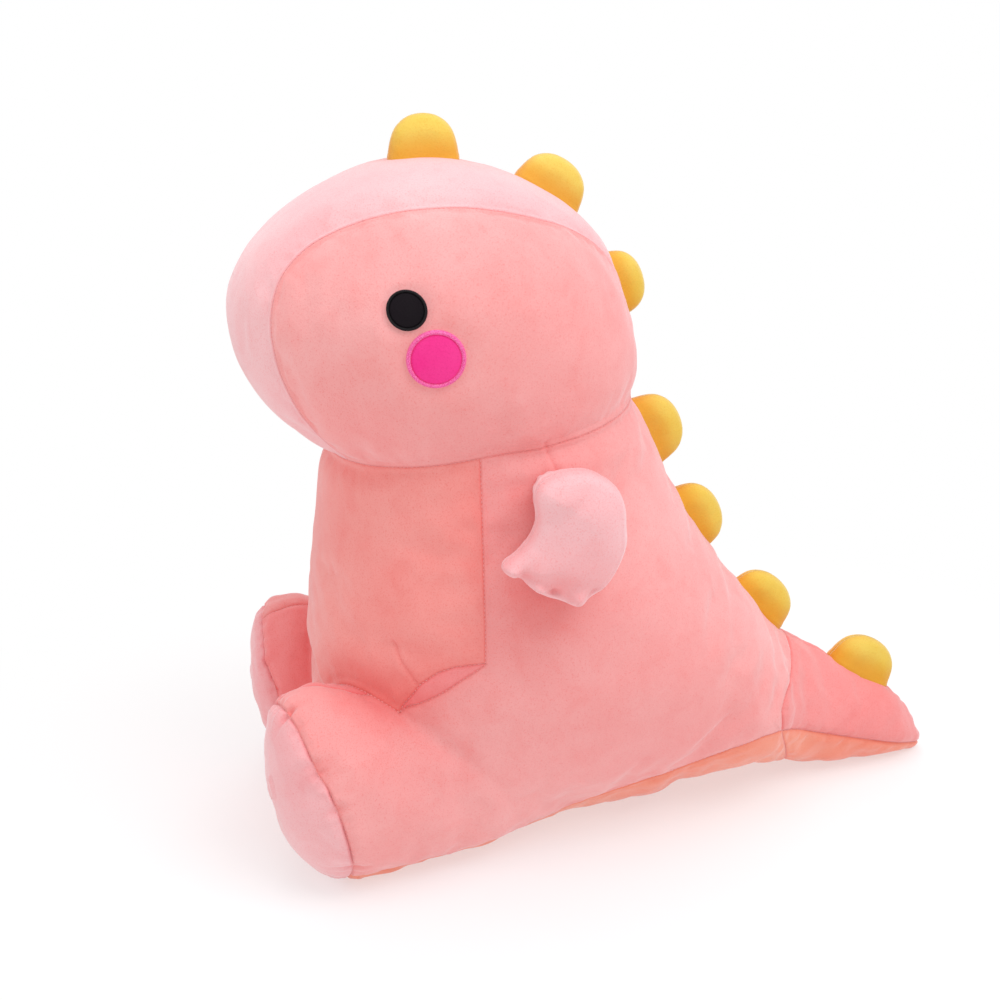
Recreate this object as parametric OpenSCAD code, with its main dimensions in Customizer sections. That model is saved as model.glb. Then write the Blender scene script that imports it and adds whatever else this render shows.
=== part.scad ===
// Sitting stuffed dinosaur, sewn from fabric panels over loose filling.
// X points to the toy's left, -Y is the way it faces, Z is up.
// The origin is on the floor, under the middle of its length and width.

/* [Fabric] */
// Thickness of the plush skin with its pile
skin = 2.2; // [1.8:0.1:2.6]
// Gap left between two neighbouring panels along a seam
seam_gap = 0.4; // [0.3:0.1:0.8]
// Gap between the skin and the filling
fill_gap = 0.8; // [0.6:0.1:1.2]

/* [Head] */
// Half width of the head at the cheeks
head_half_w = 160; // [152:1:164]
// Half width of the centre strip that runs over the head
gusset_half_w = 96; // [70:1:100]
// Diameter of the eye patch
eye_d = 28; // [24:1:32]
// Diameter of the cheek patch
blush_d = 41; // [36:1:42]
// Width of the satin stitched edge on the eye and cheek patches
edging_w = 1.6; // [1.2:0.1:2.4]

/* [Body] */
// Height of the seam where the base panel meets the sides
base_h = 10; // [8:1:16]
// Distance from the middle to the front side seams, along Y
belly_seam_y = -46; // [-54:1:-40]
// Angle the legs open outward
leg_splay = 14; // [12:0.5:15]

/* [Tail] */
// Place of the upright line that the tail wags about
wag_y = 285; // [282:1:288]
// Radius of the filled root of the tail
wag_r = 60; // [59:0.5:61]
// Clearance between the root of the tail and the body
wag_clear = 0.6; // [0.5:0.1:1]

/* [Arms] */
// Half thickness of an arm
arm_half_t = 24; // [20:1:25]
// Distance from the middle to the centre of an arm
arm_x = 181; // [180:1:186]
// Height of the sewn root of an arm
arm_root_h = 30; // [24:1:32]

/* [Spikes] */
// Half thickness of a spike
spike_half_t = 13; // [10:0.5:14]
// How far each spike stands clear of the back seam
spike_lift = 2.2; // [2:0.1:3]

/* [Hidden] */
// Middle of the length, so that the toy is centred on the origin
y_mid = 98;
ring_n = 24;

// Head outline in the YZ plane, from the nose down, round the back and over the top
HEAD_C = [-50, 445];
HEAD_P = [[-218,450],[-214,414],[-195,378],[-166,350],[-130,325],[-80,300],[-20,292],[40,300],[78,325],[98,362],
          [104,400],[98,442],[80,488],[50,521],[16,541],[-24,555],[-60,560],[-96,556],[-138,540],[-182,511],[-207,482]];
// Belly and back: height, front y, back y, half width
TORSO = [[0,-100,130,26],[6,-118,150,50],[20,-136,172,79],[45,-148,192,109],[80,-156,204,134],[120,-163,206,150],[165,-165,198,157],
         [210,-162,182,157],[260,-156,158,151],[310,-149,134,144],[350,-140,114,138],[390,-128,97,128],[420,-118,84,118]];
// Rump and tail: y, top, half width, bottom
TAIL = [[60,320,120,0],[110,290,124,0],[150,252,118,2],[188,214,112,5],[213,187,104,8],[235,163,90,9],[252,145,74,7],[268,132,63,3],
        [290,117,55,1],[311,105,50,1],[345,86,42,1],[378,64,33,1],[396,44,23,1],[408,24,13,1],[414,12,5,2]];
// Leg: distance along it, half width, half height, height of its middle
LEG_HIP = [46, 60];
LEG = [[-40,50,66,84],[0,60,76,84],[60,66,77,81],[110,66,75,75],[150,64,75,74.5],[190,63,77,76],[228,63,82,81.5],[250,57,77,84],
       [265,46,63,86],[275,31,42,87],[279,8,10,87]];
// Arm outline in the YZ plane, with three short claws along its lower front edge
ARM_C = [16, 302];
ARM_P = [[53,303],[51,322],[42,338],[22,350],[0,348],[-12,338],[-14,324],[-11,312],[-22,298],[-34,290],[-42,283],[-40,276],[-30,275],[-22,268],
         [-14,264],[-6,265],[3,256],[10,252],[18,256],[32,263],[44,278]];
ARM_TILT = 6;
ARM_HINGE = [147.5, 4];
ARM_ROOT_Z = 325;
// Spikes: centre of the base (y, z), direction of the tip, base length, height
SPIKES = [[-61.5,560.5,90,56,34],[39,533,57,60,32],[97,456,20,56,31],[128.5,329,25,64,32],[170,247,28,68,31],[240,161,47,70,34],[346,86.5,59,72,36]];
SPIKE_LEN = len(SPIKES);
// Spike section: fraction of height, fraction of length, fraction of thickness
LOBE = [[0,0.98,0.3],[0.14,0.95,0.68],[0.36,0.88,0.97],[0.6,0.78,1],[0.8,0.6,0.8],[0.93,0.38,0.5],[1,0.14,0.16]];
EYE = [-103, 467];
BLUSH = [-82, 431];
PINK = [0.97, 0.66, 0.66];
PALE_PINK = [0.98, 0.72, 0.73];
YELLOW = [0.95, 0.79, 0.4];
WHITE = [0.96, 0.96, 0.94];

function sg(v) = v < 0 ? -1 : 1;
function se(v, n) = sg(v) * pow(abs(v), 2 / n);
function clamp(v, lo, hi) = min(hi, max(lo, v));

// Closed solid through a list of rings that turn the same way about the stack.
// Its facets on the right mirror those on the left.
module loft(R) {
    n = len(R[0]);
    m = len(R);
    faces = concat([[for (j = [0:n-1]) j]],
        [for (i = [0:m-2]) for (j = [0:n-1]) let (a = i*n+j, b = i*n+(j+1)%n, c = a+n, d = b+n, x = R[i][j][0] + R[i][(j+1)%n][0] + R[i+1][j][0] + R[i+1][(j+1)%n][0])
            each x > 0 ? [[a, d, b], [a, c, d]] : [[a, c, b], [b, c, d]]],
        [[for (j = [n-1:-1:0]) (m-1)*n+j]]);
    polyhedron([for (r = R) for (p = r) p], faces);
}
// One mesh from a set of cut lofts, centred along the length
module sewn() { resize([0, 0, 0]) translate([0, -y_mid, 0]) children(); }

// The whole head, drawn in by a distance
module head(off = 0) {
    k = 1 - off/150;
    W = head_half_w - off;
    steps = [-82, -64, -48, -32, -16, 0, 16, 32, 48, 64, 82];
    loft([for (f = steps) let (q = pow(cos(f), 2/2.25), s = se(sin(f), 2.35))
        [for (p = HEAD_P) let (y = HEAD_C[0] + (p[0]-HEAD_C[0])*q*k, z = HEAD_C[1] + (p[1]-HEAD_C[1])*q*k)
            [s * (W - 0.18*max(0, -120-y) - 0.04*max(0, y)), y, z]]]);
}
// Belly and back, drawn in by a distance: low rings lift, high rings narrow
module torso(off = 0) {
    loft([for (r = TORSO) let (u = clamp(r[0]/110, 0, 1), d = off*(0.25+0.75*u), a = r[3]-d, yf = r[1]+d, yb = r[2]-d, z = r[0]+off*(1-u))
        [for (j = [0:ring_n-1]) let (t = 360*j/ring_n) [a*se(cos(t), 2.15), (yf+yb)/2 + (yb-yf)/2*se(sin(t), 2.15), z]]]);
}
module rump(off = 0) {
    last = len(TAIL)-1;
    loft([for (i = [0:last]) let (r = TAIL[i], zt = r[1]-off, zb = r[3]+off, w = max(2, r[2]-off), zc = (zt+zb)/2, hz = max(1.5, (zt-zb)/2), y = r[0] - (i > last-3 ? off*(i-last+3)/3 : 0))
        [for (j = [0:ring_n-1]) let (t = 360*j/ring_n, n = sin(t) > 0 ? 1.85 : 2.1) [-w*se(cos(t), n), y, zc + hz*se(sin(t), n)]]]);
}
module leg(off = 0) {
    last = len(LEG)-1;
    s = leg_splay;
    loft([for (i = [0:last]) let (r = LEG[i], w = r[1]-off, h = r[2]-off, e = i > last-3 ? off*(i-last+3)/3 : 0)
        [for (j = [0:19]) let (a = 360*j/20, p = w*cos(a), z = r[3]+h*sin(a), t = r[0]-e + clamp((r[0]-100)/140, 0, 1)*0.16*(z-75))
            [LEG_HIP[0] + t*sin(s) + p*cos(s), LEG_HIP[1] - t*cos(s) + p*sin(s), z]]]);
}
module both() { children(); mirror([1, 0, 0]) children(); }
module above(z) { translate([-400, -400, z]) cube([800, 1000, 700]); }
module side_of(x0 = 0) { translate([x0, -400, -50]) cube([400, 1000, 750]); }
// Belly, rump and both legs as one shape that sits flat on the floor
module body(off = 0) {
    intersection() {
        union() { torso(off); rump(off); both() leg(off); }
        above(off);
    }
}
module tail_zone(c = 0) {
    translate([0, wag_y, -20]) cylinder(r = wag_r - c, h = 400, $fn = 48);
    translate([-200, wag_y + c*0.5, -20]) cube([400, 300, 400]);
}
module body_skin() {
    difference() {
        body(0);
        body(skin);
        head(-seam_gap);
        tail_zone(-wag_clear);
    }
}
module tail_skin() {
    intersection() {
        difference() { body(0); body(skin); }
        tail_zone(0);
    }
}
// The frame of a leg: x across, y along, starting at the hip
module leg_frame() { translate([LEG_HIP[0], LEG_HIP[1], 0]) rotate([0, 0, leg_splay - 90]) children(); }
module leg_zone(g = 0) { leg(-2 - g); }
module sole_zone(g = 0) { leg_frame() rotate([0, 9, 0]) translate([226 - g, -120, -40]) cube([120, 240, 280]); }
module inner_zone(g = 0) { intersection() { leg_zone(g); leg_frame() translate([20 - g, -200, -20]) cube([400, 200 + g, 300]); } }
module base_zone(g = 0) { translate([-400, -400, -20]) cube([800, 1000, 20 + base_h + g]); }
module gusset_zone(g = 0) {
    w = gusset_half_w + g;
    translate([0, 0, 200]) linear_extrude(500)
        polygon([[-w+16,-300],[w-16,-300],[w,-150],[w,20],[w-40,90],[w-46,160],[-w+46,160],[-w+40,90],[-w,20],[-w,-150]]);
}

// Centre strip from the chin, over the top and down the back of the head
module head_gusset() {
    color(PALE_PINK) sewn() intersection() {
        difference() { head(0); head(skin); torso(skin); }
        gusset_zone(0);
    }
}
module head_side() {
    color(PINK) sewn() intersection() {
        difference() { head(0); head(skin); torso(skin); gusset_zone(seam_gap); }
        side_of(0);
    }
}
module head_side_left() { head_side(); }
module head_side_right() { mirror([1, 0, 0]) head_side(); }
module belly_panel() {
    color(PINK) sewn() difference() {
        intersection() { body_skin(); translate([-300, belly_seam_y - 300, 0]) cube([600, 300, 500]); }
        both() leg_zone(seam_gap);
        base_zone(seam_gap);
    }
}
module body_side() {
    color(PINK) sewn() difference() {
        intersection() {
            body_skin();
            side_of(seam_gap/2);
            union() { translate([-300, belly_seam_y + seam_gap, 0]) cube([600, 400, 500]); leg_zone(0); }
        }
        both() inner_zone(seam_gap);
        sole_zone(seam_gap);
        base_zone(seam_gap);
    }
}
module body_side_left() { body_side(); }
module body_side_right() { mirror([1, 0, 0]) body_side(); }
module inner_leg() {
    color(PINK) sewn() difference() {
        intersection() { body_skin(); inner_zone(0); side_of(seam_gap/2); }
        sole_zone(seam_gap);
        base_zone(seam_gap);
    }
}
module inner_leg_left() { inner_leg(); }
module inner_leg_right() { mirror([1, 0, 0]) inner_leg(); }
module sole() {
    color(PALE_PINK) sewn() difference() {
        intersection() { body_skin(); sole_zone(0); side_of(0); }
        base_zone(seam_gap);
    }
}
module sole_left() { sole(); }
module sole_right() { mirror([1, 0, 0]) sole(); }
// Panel under the body and legs, flat where the toy sits
module base_panel() { color(PINK) sewn() intersection() { body_skin(); base_zone(0); } }
module tail_side() {
    color(PINK) sewn() difference() {
        intersection() { tail_skin(); side_of(seam_gap/2); }
        base_zone(seam_gap);
    }
}
module tail_side_left() { tail_side(); }
module tail_side_right() { mirror([1, 0, 0]) tail_side(); }
module tail_underside() { color(PALE_PINK) sewn() intersection() { tail_skin(); base_zone(0); } }

// One arm as a pillow between two flat panels
module arm(off = 0) {
    T = arm_half_t - off;
    layers = [[-1, 0.3], [-0.86, 0.62], [-0.55, 0.86], [0, 1], [0.55, 0.86], [0.86, 0.62], [1, 0.3]];
    translate([arm_x, 0, 0])
        loft([for (l = layers) [for (p = ARM_P) let (dy = p[0]-ARM_C[0], dz = p[1]-ARM_C[1], r = norm([dy, dz]), k = l[1]*(r-off)/r)
            [l[0]*T - (dz*k)*tan(ARM_TILT), ARM_C[0] + dy*k, ARM_C[1] + dz*k]]]);
}
// Gathered root of the arm, rounded about the line it swings on
module arm_root() {
    translate([ARM_HINGE[0], ARM_HINGE[1], ARM_ROOT_Z - arm_root_h/2]) {
        cylinder(r = 1.6, h = arm_root_h, $fn = 24);
        translate([0, -1.6, 0]) cube([arm_x - ARM_HINGE[0] - 6, 3.2, arm_root_h]);
    }
}
module arm_cut() { translate([arm_x, ARM_C[0], ARM_C[1]]) rotate([0, ARM_TILT, 0]) children(); }
module arm_outer() {
    color(PALE_PINK) sewn() intersection() {
        difference() { arm(0); arm(skin); }
        arm_cut() translate([seam_gap/2, -100, -100]) cube([100, 200, 200]);
    }
}
module arm_outer_left() { arm_outer(); }
module arm_outer_right() { mirror([1, 0, 0]) arm_outer(); }
module arm_inner() {
    color(PALE_PINK) sewn() intersection() {
        difference() { union() { arm(0); arm_root(); } arm(skin); }
        arm_cut() translate([-100 - seam_gap/2, -100, -100]) cube([100, 200, 200]);
    }
}
module arm_inner_left() { arm_inner(); }
module arm_inner_right() { mirror([1, 0, 0]) arm_inner(); }

// A rounded lobe that stands on its base, z up
module lobe(L, h, off = 0) {
    k = (h - 1.6*off)/h;
    loft([for (s = LOBE) let (a = max(1, s[1]*L/2 - off), w = max(1, s[2]*spike_half_t - off))
        [for (j = [0:11]) let (t = 30*j) [w*cos(t), a*sin(t), off*0.8 + s[0]*h*k]]]);
}
module at_spike(i) {
    s = SPIKES[i];
    translate([0, s[0] + spike_lift*cos(s[2]), s[1] + spike_lift*sin(s[2])]) rotate([s[2] - 90, 0, 0]) children();
}
// Two halves of a spike cover, seamed over the top
module spike_cover(i) {
    s = SPIKES[i];
    color(YELLOW) sewn() both() at_spike(i) intersection() {
        difference() { lobe(s[3], s[4]); lobe(s[3], s[4], 1.8); }
        translate([seam_gap/2, -60, -10]) cube([60, 120, 90]);
    }
}
module spike_cover_1() { spike_cover(0); }
module spike_cover_2() { spike_cover(1); }
module spike_cover_3() { spike_cover(2); }
module spike_cover_4() { spike_cover(3); }
module spike_cover_5() { spike_cover(4); }
module spike_cover_6() { spike_cover(5); }
module spike_cover_7() { spike_cover(6); }
module spike_filling(i) { color(WHITE) sewn() at_spike(i) lobe(SPIKES[i][3], SPIKES[i][4], 1.8 + fill_gap); }
module spike_filling_1() { spike_filling(0); }
module spike_filling_2() { spike_filling(1); }
module spike_filling_3() { spike_filling(2); }
module spike_filling_4() { spike_filling(3); }
module spike_filling_5() { spike_filling(4); }
module spike_filling_6() { spike_filling(5); }
module spike_filling_7() { spike_filling(6); }

// A thin disc lying on the side of the head, between two heights over it
module patch(c, d, lo, hi, hole = 0) {
    sewn() intersection() {
        difference() { head(-hi); head(-lo); }
        translate([60, c[0], c[1]]) rotate([0, 90, 0]) difference() {
            cylinder(d = d, h = 140, $fn = 32);
            if (hole > 0) translate([0, 0, -1]) cylinder(d = hole, h = 142, $fn = 32);
        }
    }
}
module eye() { color([0.08, 0.07, 0.1]) patch(EYE, eye_d, 0.3, 1.5); }
module eye_left() { eye(); }
module eye_right() { mirror([1, 0, 0]) eye(); }
module eye_edging() { color([0.14, 0.12, 0.17]) patch(EYE, eye_d, 1.8, 2.6, eye_d - 2*edging_w); }
module eye_edging_left() { eye_edging(); }
module eye_edging_right() { mirror([1, 0, 0]) eye_edging(); }
module blush() { color([0.98, 0.32, 0.66]) patch(BLUSH, blush_d, 0.3, 1.5); }
module blush_left() { blush(); }
module blush_right() { mirror([1, 0, 0]) blush(); }
module blush_edging() { color([0.9, 0.25, 0.55]) patch(BLUSH, blush_d, 1.8, 2.6, blush_d - 2*edging_w); }
module blush_edging_left() { blush_edging(); }
module blush_edging_right() { mirror([1, 0, 0]) blush_edging(); }

module head_filling() { color(WHITE) sewn() head(skin + fill_gap); }
module body_filling() {
    color(WHITE) sewn() difference() {
        body(skin + fill_gap);
        head(skin);
        tail_zone(-wag_clear);
    }
}
module tail_filling() { color(WHITE) sewn() intersection() { body(skin + fill_gap); tail_zone(0); } }
module arm_filling() { color(WHITE) sewn() arm(skin + fill_gap); }
module arm_filling_left() { arm_filling(); }
module arm_filling_right() { mirror([1, 0, 0]) arm_filling(); }

head_gusset();
head_side_left();
head_side_right();
belly_panel();
body_side_left();
body_side_right();
inner_leg_left();
inner_leg_right();
sole_left();
sole_right();
base_panel();
tail_side_left();
tail_side_right();
tail_underside();
arm_outer_left();
arm_outer_right();
arm_inner_left();
arm_inner_right();
spike_cover_1();
spike_cover_2();
spike_cover_3();
spike_cover_4();
spike_cover_5();
spike_cover_6();
spike_cover_7();
eye_left();
eye_right();
eye_edging_left();
eye_edging_right();
blush_left();
blush_right();
blush_edging_left();
blush_edging_right();
head_filling();
body_filling();
tail_filling();
arm_filling_left();
arm_filling_right();
spike_filling_1();
spike_filling_2();
spike_filling_3();
spike_filling_4();
spike_filling_5();
spike_filling_6();
spike_filling_7();
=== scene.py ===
"""Looks of the sitting stuffed dinosaur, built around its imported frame. Lengths inside the shape code are millimetres."""
import bpy, math
import numpy as np
from mathutils import Vector, Matrix
from mathutils.kdtree import KDTree
from mathutils.bvhtree import BVHTree


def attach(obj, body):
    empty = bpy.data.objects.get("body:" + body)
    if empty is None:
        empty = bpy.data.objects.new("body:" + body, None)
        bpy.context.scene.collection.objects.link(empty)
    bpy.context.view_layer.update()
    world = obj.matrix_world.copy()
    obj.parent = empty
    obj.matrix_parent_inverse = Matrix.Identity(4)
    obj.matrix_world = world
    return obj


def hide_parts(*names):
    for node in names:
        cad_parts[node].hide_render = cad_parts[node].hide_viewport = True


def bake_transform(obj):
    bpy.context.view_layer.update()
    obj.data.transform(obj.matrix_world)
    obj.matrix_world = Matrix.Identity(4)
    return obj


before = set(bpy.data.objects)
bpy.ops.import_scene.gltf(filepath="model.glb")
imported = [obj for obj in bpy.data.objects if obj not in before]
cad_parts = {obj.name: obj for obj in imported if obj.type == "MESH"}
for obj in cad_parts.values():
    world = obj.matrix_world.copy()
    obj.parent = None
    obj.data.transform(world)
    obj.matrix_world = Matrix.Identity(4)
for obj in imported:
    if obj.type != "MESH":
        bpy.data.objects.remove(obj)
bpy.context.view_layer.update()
scene = bpy.context.scene

# ---------------------------------------------------------------- camera
AZ, EL, DIST = math.radians(77), math.radians(17), 1.190
TARGET = Vector((0, -0.098, 0.27573))
BACK = Vector((math.sin(AZ)*math.cos(EL), -math.cos(AZ)*math.cos(EL), math.sin(EL)))
cam = bpy.data.objects.new("camera", bpy.data.cameras.new("camera"))
scene.collection.objects.link(cam)
cam.data.lens = 50.4; cam.data.sensor_width = 36
cam.data.clip_start, cam.data.clip_end = 0.05, 40
cam.location = TARGET + BACK*DIST
cam.rotation_mode = "QUATERNION"
cam.rotation_quaternion = (-BACK).to_track_quat("-Z", "Y")
scene.camera = cam
Y_MID = 98.0
# ---------------------------------------------------------------- shape of the toy, y measured from the same datum as the CAD source
HEAD_C = (-50.0, 445.0)
HEAD_P = [(-218,450),(-214,414),(-195,378),(-166,350),(-130,325),(-80,300),(-20,292),(40,300),(78,325),(98,362),
          (104,400),(98,442),(80,488),(50,521),(16,541),(-24,555),(-60,560),(-96,556),(-138,540),(-182,511),(-207,482)]
TORSO = [(0,-100,130,26),(6,-118,150,50),(20,-136,172,74),(45,-148,190,102),(80,-156,200,128),(120,-163,203,147),(165,-165,198,157),
         (210,-162,182,157),(260,-156,158,151),(310,-149,134,144),(350,-140,114,138),(390,-128,97,128),(420,-118,84,118)]
TAIL = [(60,320,120,0),(110,290,124,0),(150,252,116,10),(188,214,109,16),(213,187,100,18),(235,163,86,16),(252,145,71,12),(268,132,62,8),
        (290,117,55,4),(311,105,50,1),(345,86,42,1),(378,64,33,1),(396,44,23,1),(408,24,13,1),(414,12,5,2)]
HIP = (46.0, 60.0); SPLAY = np.radians(14.0)
LEG = [(-40,46,60,86),(0,54,70,86),(60,62,74,82),(110,65,74,75),(150,64,75,74.5),(190,63,77,76),(226,63,81,82),(248,57,75.5,85.5),
       (262,46,62,88),(271,31,42,89),(275.5,8,10,89)]
def table(rows, k=12):
    """A smooth dense table through rows, as monotone cubic pieces."""
    P = np.array(rows, float); x = P[:, 0]; h = np.diff(x); s = np.diff(P, axis=0) / h[:, None]
    m = np.zeros_like(P)
    m[0], m[-1] = s[0], s[-1]
    w1 = (2*h[1:] + h[:-1])[:, None]; w2 = (h[1:] + 2*h[:-1])[:, None]
    a, b = s[:-1], s[1:]
    with np.errstate(divide="ignore", invalid="ignore"):
        hm = (w1 + w2) / (w1/a + w2/b)
    m[1:-1] = np.where(a*b > 0, hm, 0)
    out = []
    for i in range(len(x)-1):
        t = np.linspace(0, 1, k, endpoint=False)[:, None]
        out.append((2*t**3-3*t**2+1)*P[i] + (t**3-2*t**2+t)*h[i]*m[i] + (-2*t**3+3*t**2)*P[i+1] + (t**3-t**2)*h[i]*m[i+1])
    out.append(P[-1:])
    D = np.concatenate(out)
    D[:, 0] = np.concatenate([np.linspace(x[i], x[i+1], k, endpoint=False) for i in range(len(x)-1)] + [x[-1:]])
    return D
T_TORSO, T_TAIL, T_LEG = table(TORSO), table(TAIL), table(LEG)
def look(tab, v, i): return np.interp(v, tab[:, 0], tab[:, i])
def polar_table():
    p = np.array(HEAD_P, float) - HEAD_C
    th = np.unwrap(np.arctan2(p[:, 1], p[:, 0])); r = np.hypot(p[:, 0], p[:, 1])
    n = len(th)
    th3 = np.concatenate([th - 2*np.pi, th, th + 2*np.pi]); r3 = np.tile(r, 3)
    m = np.gradient(r3, th3)
    tt = []; rr = []
    for i in range(n, 2*n):
        h = th3[i+1] - th3[i]; t = np.linspace(0, 1, 10, endpoint=False)
        tt.append(th3[i] + t*h)
        rr.append((2*t**3-3*t**2+1)*r3[i] + (t**3-2*t**2+t)*h*m[i] + (-2*t**3+3*t**2)*r3[i+1] + (t**3-t**2)*h*m[i+1])
    tt = np.concatenate(tt); rr = np.concatenate(rr)
    g = np.linspace(-np.pi, np.pi, 721)
    rg = np.interp(g, *zip(*sorted(zip((tt + np.pi) % (2*np.pi) - np.pi, rr))), period=2*np.pi)
    for _ in range(6): rg[:-1] = (np.roll(rg[:-1], 1) + 2*rg[:-1] + np.roll(rg[:-1], -1)) / 4
    rg[-1] = rg[0]
    return g, rg
POLAR = polar_table()
def smin(a, b, k):
    h = np.clip(0.5 + 0.5*(b-a)/k, 0, 1)
    return b*(1-h) + a*h - k*h*(1-h)
def smax(a, b, k): return -smin(-a, -b, k)
def smooth(v, a, b):
    t = np.clip((v-a)/(b-a), 0, 1); return t*t*(3-2*t)
def f_head(x, y, z):
    dy, dz = y-HEAD_C[0], z-HEAD_C[1]
    q = np.hypot(dy, dz) / np.interp(np.arctan2(dz, dy), *POLAR)
    w = 160 - 0.18*np.maximum(0, -120-y) - 0.04*np.maximum(0, y)
    return (((np.abs(x)/w)**2.35 + q**2.25)**(1/2.3) - 1)*150
def f_torso(x, y, z):
    zz = np.clip(z, 0, 420)
    yf, yb, a = (look(T_TORSO, zz, i) for i in (1, 2, 3))
    b = (yb-yf)/2
    v = ((np.abs(x)/a)**2.15 + (np.abs(y-(yf+yb)/2)/b)**2.15)**(1/2.15)
    s = (v-1)*np.minimum(a, b)
    return np.maximum(s, z-425)
def f_rump(x, y, z):
    yy = np.clip(y, 60, 414)
    zt, w, zb = (look(T_TAIL, yy, i) for i in (1, 2, 3))
    zc = (zt+zb)/2; n = np.where(z > zc, 1.85, 2.1)
    v = ((np.abs(x)/w)**n + (np.abs(z-zc)/((zt-zb)/2))**n)**(1/n)
    s = (v-1)*np.minimum(w, (zt-zb)/2)
    return np.maximum(s, np.maximum(60-y, (y-413.0)*0.8))
def leg_coords(x, y, z):
    X, Y = np.abs(x)-HIP[0], y-HIP[1]
    t = X*np.sin(SPLAY) - Y*np.cos(SPLAY); p = X*np.cos(SPLAY) + Y*np.sin(SPLAY)
    return t - np.clip((t-100)/140, 0, 1)*0.08*(z-75), p
def f_leg(x, y, z):
    t, p = leg_coords(x, y, z)
    tt = np.clip(t, -40, 279)
    w, h, zc = (look(T_LEG, tt, i) for i in (1, 2, 3))
    v = ((np.abs(p)/w)**2 + (np.abs(z-zc)/h)**2)**0.5
    return np.maximum((v-1)*np.minimum(w, h), np.maximum(-40-t, t-278))
def f_body(x, y, z):
    s = smin(f_torso(x, y, z), f_rump(x, y, z), 10 + 34*smooth(z, 60, 170))
    k = 9 + 24*smooth(y, -70, 0)*smooth(z, 30, 110)
    return smax(smin(s, f_leg(x, y, z), k), 0.0-z, 5)
def f_all(x, y, z):
    return smin(f_body(x, y, z), f_head(x, y, z), 5)
# ---------------------------------------------------------------- mesh tools
def nets(f, lo, hi, h):
    """Quads of the surface f = 0, one vertex for each cell that it passes through."""
    g = [np.arange(lo[i], hi[i]+h, h) for i in range(3)]
    X, Y, Z = np.meshgrid(*g, indexing="ij")
    F = f(X, Y, Z)
    nx, ny, nz = F.shape
    cnt = np.zeros((nx-1, ny-1, nz-1)); P = np.zeros(cnt.shape + (3,))
    sl = lambda i, n: slice(i, n-1+i)
    for ax in range(3):
        for o in ((0, 0), (0, 1), (1, 0), (1, 1)):
            o1 = list(o); o1.insert(ax, 0); o2 = list(o); o2.insert(ax, 1)
            A = F[sl(o1[0], nx), sl(o1[1], ny), sl(o1[2], nz)]; B = F[sl(o2[0], nx), sl(o2[1], ny), sl(o2[2], nz)]
            m = (A < 0) != (B < 0)
            t = np.where(m, A/(A-B+1e-30), 0)
            for k in range(3): P[..., k] += (o1[k] + (t if k == ax else 0))*m
            cnt += m
    act = cnt > 0
    idx = np.argwhere(act)
    vid = -np.ones(cnt.shape, int); vid[act] = np.arange(len(idx))
    V = np.array(lo) + (idx + P[act]/cnt[act][:, None])*h
    out = []
    for ax in range(3):
        o = [0, 0, 0]; o[ax] = 1
        a = F[:nx-o[0], :ny-o[1], :nz-o[2]]; b = F[o[0]:, o[1]:, o[2]:]
        ii = np.argwhere((a < 0) != (b < 0))
        u, v = (ax+1) % 3, (ax+2) % 3
        ii = ii[(ii[:, u] > 0) & (ii[:, v] > 0) & (ii[:, u] < F.shape[u]-1) & (ii[:, v] < F.shape[v]-1)]
        eu = np.zeros(3, int); eu[u] = 1; ev = np.zeros(3, int); ev[v] = 1
        Q = np.stack([vid[tuple((ii-d).T)] for d in (0*eu, eu, eu+ev, ev)], 1)
        s = a[tuple(ii.T)] < 0
        Q[~s] = Q[~s][:, ::-1]
        out.append(Q)
    return V, np.concatenate(out)

def at(f, P): return f(P[:, 0], P[:, 1], P[:, 2])

def gradient(f, P, e=0.5):
    g = np.empty_like(P)
    for k in range(3):
        d = np.zeros(3); d[k] = e
        g[:, k] = (at(f, P+d) - at(f, P-d))/(2*e)
    return g

def project(f, P, n=3, cap=2.5):
    for _ in range(n):
        g = gradient(f, P)
        s = -at(f, P)/np.maximum((g*g).sum(1), 0.05)
        d = g*s[:, None]
        L = np.linalg.norm(d, axis=1)
        P = P + d*np.minimum(1, cap/np.maximum(L, 1e-9))[:, None]
    return P

def quad_edges(Q):
    e = np.sort(np.concatenate([Q[:, [0, 1]], Q[:, [1, 2]], Q[:, [2, 3]], Q[:, [3, 0]]]), axis=1)
    key, inv = np.unique(e[:, 0].astype(np.int64)*(1 << 32) + e[:, 1], return_inverse=True)
    return np.stack([key >> 32, key & 0xffffffff], 1), inv.reshape(4, -1).T

def relax(f, V, E, n, amount=0.5, held=None):
    cnt = np.bincount(E.ravel(), minlength=len(V)).astype(float)
    for _ in range(n):
        S = np.stack([np.bincount(E[:, 0], V[E[:, 1], k], len(V)) + np.bincount(E[:, 1], V[E[:, 0], k], len(V)) for k in range(3)], 1)
        W = V + amount*(S/np.maximum(cnt, 1)[:, None] - V)
        if held is not None: W[held] = V[held]
        V = project(f, W, 1)
    return V

def edges_of(T):
    e = np.sort(np.concatenate([T[:, [0, 1]], T[:, [1, 2]], T[:, [2, 0]]]), axis=1)
    key, inv = np.unique(e[:, 0].astype(np.int64)*(1 << 32) + e[:, 1], return_inverse=True)
    return np.stack([key >> 32, key & 0xffffffff], 1), inv.reshape(3, -1).T

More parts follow.
